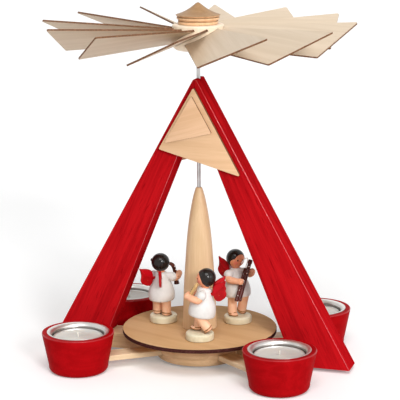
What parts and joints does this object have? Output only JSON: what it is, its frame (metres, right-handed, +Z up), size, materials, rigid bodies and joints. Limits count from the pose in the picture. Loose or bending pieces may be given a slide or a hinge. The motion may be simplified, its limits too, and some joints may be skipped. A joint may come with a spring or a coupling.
{
  "type": "candle carousel",
  "caption": "Wooden candle carousel: an A-shaped frame on tea-light cups, and a turntable of angel musicians on a steel shaft that a bladed propeller turns.",
  "frame": {"origin": "on the floor plane under the shaft, at the bottom centre of the bounding box", "axes": "+Z up along the shaft, +X across the A-shaped frame towards its right foot, -Y out of the front gusset"},
  "size_m": [0.2436, 0.234, 0.2783],
  "materials": {
    "red_stained_wood": "red stain under satin varnish",
    "pale_wood": "natural, satin",
    "block_wood": "turned, natural, satin",
    "rail_wood": "natural, satin",
    "plywood": "thin plywood with brown laser-cut edges",
    "turntable_wood": "thin plywood disc with a dark laser-cut edge",
    "cone_wood": "turned, natural, satin",
    "hub_wood": "turned, natural, satin",
    "cap_wood": "turned, natural, satin",
    "blade_plywood": "thin plywood with brown laser-cut edges",
    "insert_metal": "satin",
    "tealight_aluminium": "bright foil",
    "wax": "smooth white wax",
    "shaft_steel": "drawn rod",
    "bearing_brass": "turned",
    "plinth_paint": "pale green-yellow paint, satin",
    "dress_white": "white paint, satin",
    "skin": "natural light wood with painted dots and dark gloss hair",
    "wing_red": "red paint, satin",
    "recorder_wood": "natural, satin",
    "bassoon_wood": "dark gloss paint",
    "dark_gloss_paint": "dark gloss paint"
  },
  "bodies": {
    "stand": {"candle_cup_front_left": "red_stained_wood", "cup_insert_front_left": "insert_metal", "cup_arm_front_left": "pale_wood", "candle_cup_front_right": "red_stained_wood", "cup_insert_front_right": "insert_metal", "cup_arm_front_right": "pale_wood", "candle_cup_rear_left": "red_stained_wood", "cup_insert_rear_left": "insert_metal", "cup_arm_rear_left": "pale_wood", "candle_cup_rear_right": "red_stained_wood", "cup_insert_rear_right": "insert_metal", "cup_arm_rear_right": "pale_wood", "centre_block": "block_wood", "frame_rail": "rail_wood", "foot_bearing": "bearing_brass", "frame_leg_left": "red_stained_wood", "frame_leg_right": "red_stained_wood", "gusset_front": "plywood", "gusset_cover": "plywood", "gusset_rear": "plywood"},
    "rotor": {"shaft": "shaft_steel", "turntable": "turntable_wood", "cone_post": "cone_wood", "angel_horn_plinth": "plinth_paint", "angel_horn_body": "dress_white", "angel_horn_head": "skin", "angel_horn_wings": "wing_red", "angel_horn_horn": "dark_gloss_paint", "angel_recorder_plinth": "plinth_paint", "angel_recorder_body": "dress_white", "angel_recorder_head": "skin", "angel_recorder_wings": "wing_red", "angel_recorder_recorder": "recorder_wood", "angel_bassoon_plinth": "plinth_paint", "angel_bassoon_body": "dress_white", "angel_bassoon_head": "skin", "angel_bassoon_wings": "wing_red", "angel_bassoon_bassoon": "bassoon_wood"},
    "propeller": {"propeller_hub": "hub_wood", "propeller_cap": "cap_wood", "blade_01": "blade_plywood", "blade_02": "blade_plywood", "blade_03": "blade_plywood", "blade_04": "blade_plywood", "blade_05": "blade_plywood", "blade_06": "blade_plywood", "blade_07": "blade_plywood", "blade_08": "blade_plywood", "blade_09": "blade_plywood", "blade_10": "blade_plywood", "blade_11": "blade_plywood", "blade_12": "blade_plywood"},
    "tealight_front_left": {"tealight_shell_front_left": "tealight_aluminium", "tealight_wax_front_left": "wax"},
    "tealight_front_right": {"tealight_shell_front_right": "tealight_aluminium", "tealight_wax_front_right": "wax"},
    "tealight_rear_left": {"tealight_shell_rear_left": "tealight_aluminium", "tealight_wax_rear_left": "wax"},
    "tealight_rear_right": {"tealight_shell_rear_right": "tealight_aluminium", "tealight_wax_rear_right": "wax"}
  },
  "joints": [
    {"name": "rotor_spin", "type": "hinge", "parent": "stand", "child": "rotor", "pos_m": [0, 0, 0.0145], "axis": [0, 0, 1], "continuous": true},
    {"name": "propeller_lift", "type": "slide", "parent": "rotor", "child": "propeller", "axis": [0, 0, 1], "range_m": [0, 0.03]},
    {"name": "tealight_lift_front_left", "type": "slide", "parent": "stand", "child": "tealight_front_left", "axis": [0, 0, 1], "range_m": [0, 0.03]},
    {"name": "tealight_lift_front_right", "type": "slide", "parent": "stand", "child": "tealight_front_right", "axis": [0, 0, 1], "range_m": [0, 0.03]},
    {"name": "tealight_lift_rear_left", "type": "slide", "parent": "stand", "child": "tealight_rear_left", "axis": [0, 0, 1], "range_m": [0, 0.03]},
    {"name": "tealight_lift_rear_right", "type": "slide", "parent": "stand", "child": "tealight_rear_right", "axis": [0, 0, 1], "range_m": [0, 0.03]}
  ]
}
